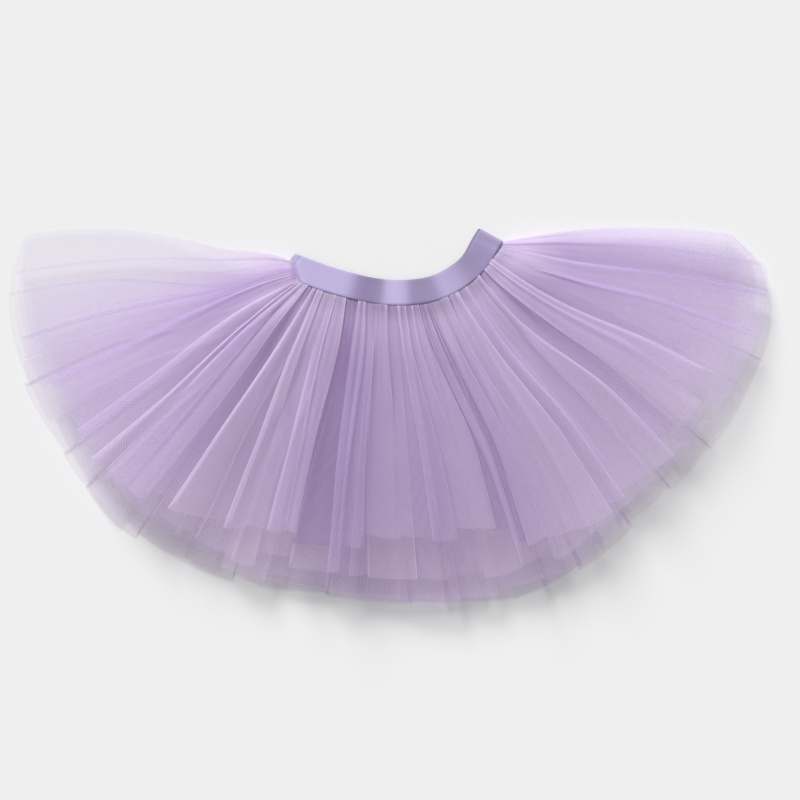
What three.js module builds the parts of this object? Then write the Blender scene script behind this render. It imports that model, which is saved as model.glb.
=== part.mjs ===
// A child's tulle skirt laid flat on a table: a wide elastic waistband and three gathered tulle layers.
// Each layer is a front panel and a back panel, and the panels lie on each other in the order they are worn.
// Millimetres. +Z is up from the table, +Y runs from the hem to the waist, and the skirt rests on z = 0.
import * as THREE from "three";

// Waistband
const BAND_HEIGHT = 25;
const BAND_WALL = 1.5;
const BAND_TOP_GAP = 0.4; // between the front and the back of the band at its top edge
const BAND_SLOPE_LOSS = 1.6; // its front slopes, so seen from above the band is this much narrower
const BAND_PLAN_HALF = (BAND_HEIGHT - BAND_SLOPE_LOSS) / 2;
const BAND_END_REACH = { top: 2.4, bottom: 4.4 }; // how far each folded end rounds out past the band's line
const UNDER_THE_EDGE = 1.6; // the cloth under the band's lower edge is this many tucks from its gathered edge
const BAND_STATIONS = 26;
const BAND_TURN_STEPS = 6;
// The band's middle line, from its left end to its right end.
const BAND_LINE = [
  { x: -87, y: 137 },
  { x: -50, y: 124 },
  { x: -4, y: 114 },
  { x: 42, y: 117.5 },
  { x: 76.5, y: 138.5 },
  { x: 94, y: 164.5 },
];

// Tulle
const CLOTH = 1.0; // wall of a panel
const SEAM_GAP = 0.3;
const TUCK = 4.5; // how deep the gathered edge reaches into the band
const TUCK_STARTS = { from: 0.02, to: 0.09 }; // share of the band, from each end, where it gets that deep
const OUTSIDE_AT_ENDS = 1.2; // at the band's folded ends the gathered edge lies this far outside it
const END_ROUND = 0.03; // share of the band over which the edge turns round its end
const OFF_THE_BAND = { from: 0.02, to: 0.075 }; // share of the length where a panel comes down off the band
const SKIRT_LENGTH = 290; // from the gathered edge to the longest hem
const FAN_CENTRE = { x: 6, y: 114.5 };
const FAN_LEFT = 171.3; // degrees, anticlockwise from +X
const FAN_RIGHT = 369.3;
// The whole skirt's outline: how far the longest hem reaches from the fan's centre.
const OUTLINE = [
  { angle: 165, radius: 344 },
  { angle: 171.3, radius: 350 },
  { angle: 180, radius: 360 },
  { angle: 190, radius: 356 },
  { angle: 205, radius: 343 },
  { angle: 220, radius: 336 },
  { angle: 235, radius: 314 },
  { angle: 255, radius: 291 },
  { angle: 272, radius: 289 },
  { angle: 295, radius: 306 },
  { angle: 318, radius: 309 },
  { angle: 335, radius: 326 },
  { angle: 352, radius: 348 },
  { angle: 363, radius: 350 },
  { angle: 369.3, radius: 326 },
  { angle: 375, radius: 316 },
];
// Where a fold leaves the waist: a share of the band, from the angle that it has at the hem.
const GATHER_CENTRE = 280;
const GATHER_SPREAD = 27;
// The side edges bow upwards between waist and hem.
const BOW = { left: 21, right: 11, fade: 14 };

// Each layer's side folds, and the share of its length that its front loses to the pile under it.
const LAYERS = [
  { name: "outer", left: 171.3, right: 369.3, short: 0.2 },
  { name: "middle", left: 180, right: 366.3, short: 0.09 },
  { name: "inner", left: 189, right: 363.2, short: 0.015 },
];
// The panels from the table up, with how far their pleats stand above and below their middle, and how many.
const PANELS = [
  { layer: 0, side: "back", rise: 0, pleats: 18 },
  { layer: 1, side: "back", rise: 1.8, pleats: 15 },
  { layer: 2, side: "back", rise: 2.4, pleats: 15 },
  { layer: 2, side: "front", rise: 3.4, pleats: 19 },
  { layer: 1, side: "front", rise: 4, pleats: 21 },
  { layer: 0, side: "front", rise: 6, pleats: 25 },
];
const SHOULDER = 7; // degrees over which the pile drops beside a layer's side fold
const SIDES_PART = { from: 0.12, to: 0.6 }; // share of the length over which the layers' side folds come apart
const SIDE_FADE = 26; // degrees over which pleats reach their full rise
const PILE_FULL_AT = 0.6; // share of the length where the pile is at its full height
const HEM_DROOP = 0.08; // share of that height that it loses again at the hem
const POINT_DROP = 4; // a pleat's edge hangs this much lower than its inner fold
const SIDE_RISE = 0.16; // share of its rise that a pleat keeps at a side fold
const FANNED_BY = 0.7; // share of the length where the folds reach the angle that they have at the hem
const MIDDLE_SHARPNESS = 1.4; // how quickly a hem draws up towards the middle of its panel
const BACK_STEP = 0.012; // each back panel is this share of the length shorter than the one under it
const LOWEST_PLEAT = 0.65; // the flattest of the uneven pleats, as a share of the highest
const UNEVEN_SPACING = 0.5; // share of a pleat's width by which the uneven ones wander

// The outer front's pleats as they lie: where each begins at the hem, which way its edge faces, and its height.
const OUTER_PLEATS = [
  { angle: 171.3, edge: 1, height: 0.6 },
  { angle: 177, edge: 1, height: 0.7 },
  { angle: 184, edge: -1, height: 0.7 },
  { angle: 191.5, edge: -1, height: 0.8 },
  { angle: 199, edge: 1, height: 0.7 },
  { angle: 206.5, edge: -1, height: 0.9 },
  { angle: 214, edge: -1, height: 1.0 },
  { angle: 224, edge: -1, height: 1.0 },
  { angle: 234.5, edge: -1, height: 1.0 },
  { angle: 246.5, edge: 1, height: 0.7 },
  { angle: 251, edge: -1, height: 0.8 },
  { angle: 256, edge: -1, height: 1.0 },
  { angle: 261.5, edge: -1, height: 0.9 },
  { angle: 267.5, edge: 1, height: 1.0 },
  { angle: 278, edge: 1, height: 0.8 },
  { angle: 284.5, edge: 1, height: 1.0 },
  { angle: 293.5, edge: 1, height: 0.8 },
  { angle: 298, edge: -1, height: 0.9 },
  { angle: 305, edge: 1, height: 1.0 },
  { angle: 313.5, edge: 1, height: 0.9 },
  { angle: 320, edge: -1, height: 1.0 },
  { angle: 330.5, edge: 1, height: 1.0 },
  { angle: 340.5, edge: 1, height: 0.9 },
  { angle: 350, edge: -1, height: 0.8 },
  { angle: 359, edge: 1, height: 0.7 },
];
const WAIST_EVENING = 0.25; // how far the pleats are evened out along the waist

// A pleat's section, from its inner fold to the next one: a broad face, its edge, and the turn back under it.
const PLEAT_FINE = [
  { along: 0, up: -1 },
  { along: 0.34, up: 0.1 },
  { along: 0.7, up: 0.85 },
  { along: 0.93, up: 0.95 },
  { along: 0.88, up: -0.35 },
];
const PLEAT_PLAIN = [
  { along: 0, up: -1 },
  { along: 0.5, up: 0.5 },
  { along: 0.86, up: 0.95 },
];
const PLEAT_FLAT = [
  { along: 0, up: 0 },
  { along: 0.5, up: 0 },
];
const ROWS_FINE = [0, 0.022, 0.07, 0.15, 0.27, 0.43, 0.64, 0.84, 1];
const ROWS_PLAIN = [0, 0.022, 0.08, 0.2, 0.4, 0.68, 1];

const radians = THREE.MathUtils.degToRad;
const mix = THREE.MathUtils.lerp;
const ease = THREE.MathUtils.smoothstep;

// A smooth curve through a table's rows, read at key = at.
function readTable(rows, key, value, at) {
  const last = rows.length - 1;
  let i = rows.findIndex((row) => row[key] > at) - 1;
  if (i < 0) i = at <= rows[0][key] ? 0 : last - 1;
  const slope = (k) => {
    const before = rows[Math.max(k - 1, 0)];
    const after = rows[Math.min(k + 1, last)];
    return (after[value] - before[value]) / (after[key] - before[key]);
  };
  const span = rows[i + 1][key] - rows[i][key];
  const t = THREE.MathUtils.clamp((at - rows[i][key]) / span, 0, 1);
  const rise = rows[i + 1][value] - rows[i][value];
  const start = slope(i) * span;
  const end = slope(i + 1) * span;
  const square = 3 * rise - 2 * start - end;
  const cube = start + end - 2 * rise;
  return rows[i][value] + t * (start + t * (square + t * cube));
}

// The band's middle line
const bandPoints = BAND_LINE.map((p) => new THREE.Vector3(p.x, p.y, 0));
const bandLine = new THREE.CatmullRomCurve3(bandPoints, false, "centripetal");

// A point of the band seen from above: share along it, across towards the hem, and past its end.
function bandPoint(share, across, past = 0) {
  const point = bandLine.getPointAt(share);
  const tangent = bandLine.getTangentAt(share);
  return new THREE.Vector2(
    point.x + tangent.y * across + tangent.x * past,
    point.y - tangent.x * across + tangent.y * past,
  );
}

const gatherRaw = (angle) => 1 / (1 + Math.exp(-(angle - GATHER_CENTRE) / GATHER_SPREAD));
const GATHER_LOW = gatherRaw(FAN_LEFT);
const GATHER_HIGH = gatherRaw(FAN_RIGHT);

// The share of the waist where the line with this hem angle starts, and the angle for a share.
function waistShare(angle) {
  return THREE.MathUtils.clamp((gatherRaw(angle) - GATHER_LOW) / (GATHER_HIGH - GATHER_LOW), 0, 1);
}
function waistAngle(share) {
  const raw = mix(GATHER_LOW, GATHER_HIGH, share);
  return GATHER_CENTRE + GATHER_SPREAD * Math.log(raw / (1 - raw));
}

// How far inside the band the gathered edge lies: not at all at its folded ends.
function tuck(share) {
  const fromEnd = Math.min(share, 1 - share);
  return mix(-OUTSIDE_AT_ENDS, TUCK, ease(fromEnd, TUCK_STARTS.from, TUCK_STARTS.to));
}

// A point seen from above, by the angle of its line and its share of the way from waist to hem.
function planPoint(angle, way) {
  const share = waistShare(angle);
  const fromEnd = Math.min(share, 1 - share);
  const past = OUTSIDE_AT_ENDS * (1 - ease(fromEnd, 0, END_ROUND)) * (share < 0.5 ? -1 : 1);
  const start = bandPoint(share, BAND_PLAN_HALF - tuck(share), past);
  const radius = readTable(OUTLINE, "angle", "radius", angle);
  const end = new THREE.Vector2(
    FAN_CENTRE.x + radius * Math.cos(radians(angle)),
    FAN_CENTRE.y + radius * Math.sin(radians(angle)),
  );
  const bow =
    BOW.left * Math.exp(-(angle - FAN_LEFT) / BOW.fade) + BOW.right * Math.exp(-(FAN_RIGHT - angle) / BOW.fade);
  const point = start.lerp(end, way);
  point.y += bow * 4 * way * Math.max(1 - way, 0);
  return point;
}

// The pile: how high one wall of a layer stands, from the angle and the way from waist to hem.
const pileGrowth = (way) => {
  const t = Math.min(way / PILE_FULL_AT, 1);
  return (1 - (1 - t) * (1 - t)) * (1 - HEM_DROOP * ease(way, PILE_FULL_AT, 1));
};
function inLayer(layer, angle, way) {
  const fromLeft = ease(angle, layer.left - SHOULDER, layer.left);
  const fromRight = 1 - ease(angle, layer.right, layer.right + SHOULDER);
  return mix(1, fromLeft * fromRight, ease(way, SIDES_PART.from, SIDES_PART.to));
}
function riseOf(layer, rise, angle, way) {
  const fromSide = Math.max(Math.min(angle - layer.left, layer.right - angle), 0);
  return rise * pileGrowth(way) * mix(SIDE_RISE, 1, ease(fromSide, 0, SIDE_FADE));
}
function wallPitch(wall, angle, way) {
  return inLayer(wall.layer, angle, way) * (CLOTH + SEAM_GAP + 2 * riseOf(wall.layer, wall.rise, angle, way));
}

const WALLS = PANELS.map((panel) => ({ ...panel, layer: LAYERS[panel.layer] }));
const OUTER_FRONT = WALLS.at(-1);

// The middle height of a wall: it lies on all the walls under it, and inside the band on the band's back.
function wallHeight(wall, angle, way) {
  let height = (BAND_WALL + SEAM_GAP) * (1 - ease(way, OFF_THE_BAND.from, OFF_THE_BAND.to));
  for (const other of WALLS) {
    if (other === wall) break;
    height += wallPitch(other, angle, way);
  }
  return height + CLOTH / 2 + riseOf(wall.layer, wall.rise, angle, way);
}

// Uneven numbers between 0 and 1 that are the same on every run.
function uneven(index, kind) {
  const n = Math.sin(index * 12.9898 + kind * 78.233) * 43758.5453;
  return n - Math.floor(n);
}

// A panel's pleats: the table's on the outer front, and unevenly spaced ones on the others.
function pleatsOf(wall) {
  if (wall === OUTER_FRONT) return OUTER_PLEATS;
  const { layer, pleats: count } = wall;
  const kind = WALLS.indexOf(wall) + 1;
  return Array.from({ length: count }, (_, i) => ({
    angle: mix(layer.left, layer.right, (i + (i ? UNEVEN_SPACING * (uneven(i, kind) - 0.5) : 0)) / count),
    edge: uneven(i, kind + 10) < 0.5 ? -1 : 1,
    height: mix(LOWEST_PLEAT, 1, uneven(i, kind + 20)),
  }));
}

// The columns of a panel's grid: where each lies at the hem and at the waist, and how far up in its pleat.
function panelColumns(wall, section) {
  const pleats = pleatsOf(wall);
  const { left, right } = wall.layer;
  const shareLeft = waistShare(left);
  const shareRight = waistShare(right);
  const columns = [];
  pleats.forEach((pleat, i) => {
    const next = i + 1 < pleats.length ? pleats[i + 1].angle : right;
    const points = pleat.edge > 0 ? section : section.map((p) => ({ along: 1 - p.along, up: p.up })).reverse();
    points.forEach((p) => {
      const fold = i + p.along;
      const hem = mix(pleat.angle, next, p.along);
      const even = waistAngle(mix(shareLeft, shareRight, fold / pleats.length));
      columns.push({ hem, waist: mix(hem, even, WAIST_EVENING), up: p.up * pleat.height });
    });
  });
  const first = columns[0];
  if (first.hem > left) columns.unshift({ hem: left, waist: left, up: 0 });
  else first.up = 0;
  columns.push({ hem: right, waist: right, up: 0 });
  return columns;
}

// The share of the full length where a panel's hem lies.
function hemWay(wall, angle, up) {
  const { layer, side } = wall;
  const across = (angle - layer.left) / (layer.right - layer.left);
  const middle = Math.sin(Math.PI * THREE.MathUtils.clamp(across, 0, 1)) ** MIDDLE_SHARPNESS;
  const short = side === "front" ? layer.short * middle : BACK_STEP * LAYERS.indexOf(layer) * middle;
  return 1 - short + (up * POINT_DROP) / SKIRT_LENGTH;
}

// The middle surface of a panel as a grid of points, one list for each column.
function panelGrid(wall, section, rows) {
  return panelColumns(wall, section).map((column) =>
    rows.map((row) => {
      const way = row * hemWay(wall, column.hem, column.up);
      const angle = mix(column.waist, column.hem, ease(row, 0, FANNED_BY));
      const plan = planPoint(angle, way);
      const lift = column.up * riseOf(wall.layer, wall.rise, angle, way);
      return new THREE.Vector3(plan.x, plan.y, wallHeight(wall, angle, way) + lift);
    }),
  );
}

// The outward direction at each point of a grid. A ring's columns join end to end.
function gridNormals(grid, ring) {
  const columns = grid.length;
  return grid.map((column, i) =>
    column.map((_, j) => {
      const left = ring ? grid[(i + columns - 1) % columns][j] : grid[Math.max(i - 1, 0)][j];
      const right = ring ? grid[(i + 1) % columns][j] : grid[Math.min(i + 1, columns - 1)][j];
      const above = column[Math.max(j - 1, 0)];
      const below = column[Math.min(j + 1, column.length - 1)];
      return new THREE.Vector3()
        .subVectors(below, above)
        .cross(new THREE.Vector3().subVectors(right, left))
        .normalize();
    }),
  );
}

// A wall of even thickness on both sides of a grid, closed round its edges.
function wallGeometry(grid, thickness, ring = false) {
  const normals = gridNormals(grid, ring);
  const rows = grid[0].length;
  const columns = grid.length;
  const positions = [];
  for (const side of [0.5, -0.5])
    grid.forEach((column, i) =>
      column.forEach((point, j) => {
        const moved = point.clone().addScaledVector(normals[i][j], side * thickness);
        positions.push(moved.x, moved.y, moved.z);
      }),
    );
  const at = (side, i, j) => side * columns * rows + (i % columns) * rows + j;
  const faces = [];
  const quad = (a, b, c, d) => faces.push(a, b, c, a, c, d);
  const spans = ring ? columns : columns - 1;
  for (let i = 0; i < spans; i++) {
    for (let j = 0; j + 1 < rows; j++) {
      quad(at(0, i, j), at(0, i, j + 1), at(0, i + 1, j + 1), at(0, i + 1, j));
      quad(at(1, i, j), at(1, i + 1, j), at(1, i + 1, j + 1), at(1, i, j + 1));
    }
    quad(at(0, i, 0), at(0, i + 1, 0), at(1, i + 1, 0), at(1, i, 0));
    quad(at(0, i, rows - 1), at(1, i, rows - 1), at(1, i + 1, rows - 1), at(0, i + 1, rows - 1));
  }
  if (!ring)
    for (let j = 0; j + 1 < rows; j++) {
      const end = columns - 1;
      quad(at(0, 0, j), at(1, 0, j), at(1, 0, j + 1), at(0, 0, j + 1));
      quad(at(0, end, j), at(0, end, j + 1), at(1, end, j + 1), at(1, end, j));
    }
  const geometry = new THREE.BufferGeometry();
  geometry.setAttribute("position", new THREE.Float32BufferAttribute(positions, 3));
  geometry.setIndex(faces);
  geometry.computeVertexNormals();
  return geometry;
}

// The middle height of the band's front wall: it lies on the gathered edges, so its lower edge stands high.
function bandFrontHeight(share, across) {
  const angle = waistAngle(share);
  const topEdge = BAND_WALL * 1.5 + BAND_TOP_GAP;
  const stack = (way) => {
    return wallHeight(OUTER_FRONT, angle, way) + CLOTH / 2 + SEAM_GAP + BAND_WALL / 2 - topEdge;
  };
  const edge = (UNDER_THE_EDGE * TUCK) / SKIRT_LENGTH;
  const steepest = Math.max(
    stack(0) / (2 * BAND_PLAN_HALF - TUCK),
    (stack(edge) + riseOf(OUTER_FRONT.layer, OUTER_FRONT.rise, angle, edge)) / (2 * BAND_PLAN_HALF),
  );
  return topEdge + steepest * (across + BAND_PLAN_HALF);
}

// The band as a ring: its front from left to right, a folded end, its back, and the other folded end.
function bandGrid() {
  const acrosses = [-BAND_PLAN_HALF, 0, BAND_PLAN_HALF];
  const backHeight = BAND_WALL / 2;
  const station = (share, past, turn) =>
    acrosses.map((across, k) => {
      const front = bandFrontHeight(share, across);
      const reach = mix(BAND_END_REACH.top, BAND_END_REACH.bottom, k / 2);
      const plan = bandPoint(share, across, past * reach);
      return new THREE.Vector3(plan.x, plan.y, mix(backHeight, front, turn));
    });
  const stations = [];
  for (let i = 0; i <= BAND_STATIONS; i++) stations.push(station(i / BAND_STATIONS, 0, 1));
  for (let i = 1; i < BAND_TURN_STEPS; i++) {
    const turn = (Math.PI * i) / BAND_TURN_STEPS;
    stations.push(station(1, Math.sin(turn), (1 + Math.cos(turn)) / 2));
  }
  for (let i = BAND_STATIONS; i >= 0; i--) stations.push(station(i / BAND_STATIONS, 0, 0));
  for (let i = 1; i < BAND_TURN_STEPS; i++) {
    const turn = (Math.PI * i) / BAND_TURN_STEPS;
    stations.push(station(0, -Math.sin(turn), (1 - Math.cos(turn)) / 2));
  }
  return stations;
}

const tulle = new THREE.MeshStandardMaterial({ color: 0xb39bcb, roughness: 0.85, name: "tulle" });
const elastic = new THREE.MeshStandardMaterial({ color: 0xb3a3d6, roughness: 0.45, name: "elastic" });

function named(name, geometry, material) {
  const mesh = new THREE.Mesh(geometry, material);
  mesh.name = name;
  return mesh;
}

// How finely each panel is made: the ones that show most are the finest, and the one on the table is flat.
const FINENESS = {
  outer_front: [PLEAT_FINE, ROWS_FINE],
  middle_front: [PLEAT_FINE, ROWS_PLAIN],
  inner_front: [PLEAT_PLAIN, ROWS_PLAIN],
  inner_back: [PLEAT_PLAIN, ROWS_PLAIN],
  middle_back: [PLEAT_PLAIN, ROWS_PLAIN],
  outer_back: [PLEAT_FLAT, ROWS_PLAIN],
};

const skirt = new THREE.Group();
skirt.add(named("waistband", wallGeometry(bandGrid(), BAND_WALL, true), elastic));
for (const wall of WALLS) {
  const name = `${wall.layer.name}_${wall.side}`;
  const [section, rows] = FINENESS[name];
  skirt.add(named(name, wallGeometry(panelGrid(wall, section, rows), CLOTH), tulle));
}

// The origin is under the middle of the skirt's outline.
const box = new THREE.Box3().setFromObject(skirt);
const centre = box.getCenter(new THREE.Vector3());
skirt.position.set(-centre.x, -centre.y, -box.min.z);

export default skirt;
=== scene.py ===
# A child's tulle skirt laid flat: six gathered panels of sheer net in an elastic waistband.
import math

import bpy
import numpy as np
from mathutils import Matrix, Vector


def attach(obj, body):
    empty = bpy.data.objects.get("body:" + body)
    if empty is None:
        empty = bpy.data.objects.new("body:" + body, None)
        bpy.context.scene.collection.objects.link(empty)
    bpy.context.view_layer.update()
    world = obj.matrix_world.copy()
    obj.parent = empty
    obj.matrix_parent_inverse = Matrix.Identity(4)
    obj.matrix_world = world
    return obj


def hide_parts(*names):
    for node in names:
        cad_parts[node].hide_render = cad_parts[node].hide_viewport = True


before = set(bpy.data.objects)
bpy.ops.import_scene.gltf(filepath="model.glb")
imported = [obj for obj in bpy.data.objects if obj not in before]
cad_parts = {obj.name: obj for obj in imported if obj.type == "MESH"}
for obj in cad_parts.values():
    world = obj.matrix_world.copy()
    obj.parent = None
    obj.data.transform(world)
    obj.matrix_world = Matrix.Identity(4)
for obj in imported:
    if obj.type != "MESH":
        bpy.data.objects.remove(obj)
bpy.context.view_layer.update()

# Sizes are in millimetres, and MM turns them into Blender's metres.
MM = 0.001

# The photo: a pixel's size, and where the middle of the skirt's outline lies in it
PHOTO_PIXELS = 800
MM_PER_PIXEL = 0.93
SKIRT_MIDDLE_PX = (391.0, 415.5)

# How far the solids were moved to bring the middle of the outline over the origin
TO_ORIGIN = (-1.86, 0.5, 0.0)

# Waistband, as its solid has it
BAND_WALL = 1.5
BAND_TOP_GAP = 0.4  # between its front and its back at the upper edge
BAND_PLAN_HALF = 11.7  # half its width as seen from above, where it slopes
BAND_LINE = [(-87, 137), (-50, 124), (-4, 114), (42, 117.5), (76.5, 138.5), (94, 164.5)]
LINE_STEPS = 60

# Tulle, as its solids have it. A pair of values is where something starts and where it is there in full, as
# shares of the waist or of the way from the waist to the hem.
CLOTH = 1.0
SEAM_GAP = 0.3
TUCK = 4.5  # how far the net's upper edge lies inside the band's lower edge
TUCK_STARTS = (0.02, 0.09)
OUTSIDE_AT_ENDS = 1.2  # how far past the band's ends the net starts, and over which share of the waist
END_ROUND = 0.03
OFF_THE_BAND = (0.02, 0.075)  # where the net comes down from the band's back to the table
SKIRT_LENGTH = 290
FAN_CENTRE = (6, 114.5)
FAN_LEFT = 171.3  # angles of the fan's two sides, in degrees
FAN_RIGHT = 369.3
# How far the longest hem reaches from the fan's centre: angle in degrees, radius.
OUTLINE = [
    (165, 344), (171.3, 350), (180, 360), (190, 356), (205, 343), (220, 336), (235, 314), (255, 291),
    (272, 289), (295, 306), (318, 309), (335, 326), (352, 348), (363, 350), (369.3, 326), (375, 316),
]
GATHER_CENTRE = 280  # the hem's angle that gets most of the waist, and over how many degrees that fades
GATHER_SPREAD = 27
BOW_LEFT = 21  # how far the fan's sides bow upwards, and over how many degrees it fades
BOW_RIGHT = 11
BOW_FADE = 14
SHOULDER = 7  # degrees over which upper panels come down past the side of a lower one
SIDES_PART = (0.12, 0.6)
SIDE_FADE = 26  # degrees from a panel's side over which its folds come to their full rise
SIDE_RISE = 0.16  # share of the rise at the side itself
PILE_FULL_AT = 0.6  # share of the way at which the folds stand highest
HEM_DROOP = 0.08  # share of that height that they lose again at the hem
FANNED_BY = 0.7  # share of the way at which a fold reaches its angle at the hem
POINT_DROP = 4  # millimetres by which the hem hangs lower at the top of a fold
MIDDLE_SHARPNESS = 1.4  # above 1, a panel's middle is narrower and its sides are wider
BACK_STEP = 0.012  # share of the length from one back panel's hem to the next

# The net's upper edge, finer than its solids have it. At both ends of the waist it lies less far inside the
# band's lower edge, and at the left end it starts up the band's side, pressed flat.
TUCK_AT_ENDS = 1.5
UP_THE_END = 14
UP_ALONG = (0, 0.035)  # where along the waist this fades
UP_DOWN = (0.04, 0.3)  # where on the way to the hem it fades
PRESSED = 0.5  # share of the height that is left there
PRESSED_DOWN = (0, 0.08)

# The panels from the table up. left and right are the angles of its sides. rise is how far its folds stand
# above their middle. short and side_short are the shares of the length by which its hem is short of the
# outline, in its middle and at its sides. side_full is how full its net is at its sides.
PANEL_COLUMNS = ("name", "left", "right", "rise", "short", "side_short", "side_full")
PANEL_ROWS = [
    ("outer_back", 171.3, 369.3, 0.0, 0.0, 0.0, 0.8),
    ("middle_back", 180.0, 366.3, 1.8, BACK_STEP, 0.03, 0.7),
    ("inner_back", 189.0, 363.2, 2.4, 2 * BACK_STEP, 0.1, 0.5),
    ("inner_front", 189.0, 363.2, 3.4, 0.015, 0.12, 0.5),
    ("middle_front", 180.0, 366.3, 4.0, 0.09, 0.07, 0.9),
    ("outer_front", 171.3, 369.3, 6.0, 0.2, 0.015, 1.7),
]
PANELS = [dict(zip(PANEL_COLUMNS, values)) for values in PANEL_ROWS]


def ease(x, low, high):
    """Runs smoothly from 0 at low to 1 at high."""
    t = np.clip((np.asarray(x, float) - low) / (high - low), 0, 1)
    return t * t * (3 - 2 * t)


def mix(a, b, t):
    return a + (b - a) * t


def step_lengths(points, axis=0):
    return np.linalg.norm(np.diff(points, axis=axis), axis=-1)


def running(steps):
    """How far each point is from the first, by the lengths of the steps between them."""
    return np.concatenate([[0], np.cumsum(steps)])


def bend(start, end, start_slope, end_slope, t):
    """A curve from start to end that leaves and arrives with the given slopes."""
    rise = end - start
    second = 3 * rise - 2 * start_slope - end_slope
    third = start_slope + end_slope - 2 * rise
    return start + t * (start_slope + t * (second + t * third))


def read_table(rows, at):
    """A smooth curve through rows of (key, value), read at each key in at."""
    keys, values = np.asarray(rows, float).T
    last = len(keys) - 1
    before = np.maximum(np.arange(last + 1) - 1, 0)
    after = np.minimum(np.arange(last + 1) + 1, last)
    slopes = (values[after] - values[before]) / (keys[after] - keys[before])
    i = np.clip(np.searchsorted(keys, at, side="right") - 1, 0, last - 1)
    span = keys[i + 1] - keys[i]
    t = np.clip((at - keys[i]) / span, 0, 1)
    return bend(values[i], values[i + 1], slopes[i] * span, slopes[i + 1] * span, t)


def smooth_line(points, steps):
    """Points along the centripetal curve through a few points."""
    p = np.asarray(points, float)
    p = np.vstack([2 * p[0] - p[1], p, 2 * p[-1] - p[-2]])
    t = np.linspace(0, 1, steps, endpoint=False)[:, None]
    stretches = []
    for p0, p1, p2, p3 in zip(p, p[1:], p[2:], p[3:]):
        d0, d1, d2 = (math.sqrt(math.dist(a, b)) for a, b in ((p0, p1), (p1, p2), (p2, p3)))
        start = ((p1 - p0) / d0 - (p2 - p0) / (d0 + d1) + (p2 - p1) / d1) * d1
        end = ((p2 - p1) / d1 - (p3 - p1) / (d1 + d2) + (p3 - p2) / d2) * d1
        stretches.append(bend(p1, p2, start, end, t))
    return np.vstack([*stretches, p[-2]])


band_line = smooth_line(BAND_LINE, LINE_STEPS)
band_run = running(step_lengths(band_line))
band_run = band_run / band_run[-1]
band_tangent = np.gradient(band_line, axis=0)
band_tangent /= np.linalg.norm(band_tangent, axis=1)[:, None]


def band_point(share, across, past=0.0):
    """A point of the band seen from above: share along it, across towards the hem, and past its end."""
    x, y = (np.interp(share, band_run, band_line[:, k]) for k in (0, 1))
    tx, ty = (np.interp(share, band_run, band_tangent[:, k]) for k in (0, 1))
    return x + ty * across + tx * past, y - tx * across + ty * past


def gather_raw(angle):
    return 1 / (1 + np.exp(-(np.asarray(angle, float) - GATHER_CENTRE) / GATHER_SPREAD))


GATHER_LOW = gather_raw(FAN_LEFT)
GATHER_HIGH = gather_raw(FAN_RIGHT)


def waist_share(angle):
    """The share of the waist where the line with this angle at the hem starts."""
    return np.clip((gather_raw(angle) - GATHER_LOW) / (GATHER_HIGH - GATHER_LOW), 0, 1)


def waist_angle(share):
    raw = mix(GATHER_LOW, GATHER_HIGH, share)
    return GATHER_CENTRE + GATHER_SPREAD * np.log(raw / (1 - raw))


def beside_the_end(share):
    """1 where the net starts beside the band's left end, and 0 where it starts under its lower edge."""
    return 1 - ease(share, *UP_ALONG)


def plan_point(angle, way):
    """A point seen from above, by the angle of its line and its share of the way from waist to hem."""
    share = waist_share(angle)
    from_end = np.minimum(share, 1 - share)
    tuck = mix(TUCK_AT_ENDS, TUCK, ease(from_end, *TUCK_STARTS))
    past = OUTSIDE_AT_ENDS * (1 - ease(from_end, 0, END_ROUND)) * np.where(share < 0.5, -1, 1)
    up = UP_THE_END * beside_the_end(share) * (1 - ease(way, *UP_DOWN))
    start_x, start_y = band_point(share, BAND_PLAN_HALF - tuck - up, past)
    radius = read_table(OUTLINE, angle)
    end_x = FAN_CENTRE[0] + radius * np.cos(np.radians(angle))
    end_y = FAN_CENTRE[1] + radius * np.sin(np.radians(angle))
    bow_left = BOW_LEFT * np.exp(-(angle - FAN_LEFT) / BOW_FADE)
    bow_right = BOW_RIGHT * np.exp(-(FAN_RIGHT - angle) / BOW_FADE)
    lift = (bow_left + bow_right) * 4 * way * np.maximum(1 - way, 0)
    return mix(start_x, end_x, way), mix(start_y, end_y, way) + lift


def spread(angle, way):
    """How many millimetres one degree of the fan covers there."""
    step = 0.05
    x0, y0 = plan_point(angle - step, way)
    x1, y1 = plan_point(angle + step, way)
    return np.hypot(x1 - x0, y1 - y0) / (2 * step)


def pile_growth(way):
    t = np.minimum(way / PILE_FULL_AT, 1)
    return (1 - (1 - t) ** 2) * (1 - HEM_DROOP * ease(way, PILE_FULL_AT, 1))


def rise_of(panel, angle, way):
    """How far a panel's folds stand above and below their middle."""
    from_side = np.maximum(np.minimum(angle - panel["left"], panel["right"] - angle), 0)
    return panel["rise"] * pile_growth(way) * mix(SIDE_RISE, 1, ease(from_side, 0, SIDE_FADE))


def in_layer(panel, angle, way):
    """1 where a panel holds up those above it, and 0 past its sides, where they lie on the table."""
    from_left = ease(angle, panel["left"] - SHOULDER, panel["left"])
    from_right = 1 - ease(angle, panel["right"], panel["right"] + SHOULDER)
    return mix(1, from_left * from_right, ease(way, *SIDES_PART))


def panel_height(panel, angle, way):
    """The middle height of a panel: it lies on the panels under it, and in the band on the band's back."""
    height = (BAND_WALL + SEAM_GAP) * (1 - ease(way, *OFF_THE_BAND))
    for other in PANELS:
        if other is panel:
            break
        height = height + in_layer(other, angle, way) * (CLOTH + SEAM_GAP + 2 * rise_of(other, angle, way))
    pressed = (1 - PRESSED) * beside_the_end(waist_share(angle)) * (1 - ease(way, *PRESSED_DOWN))
    return (height + CLOTH / 2 + rise_of(panel, angle, way)) * (1 - pressed)


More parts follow.
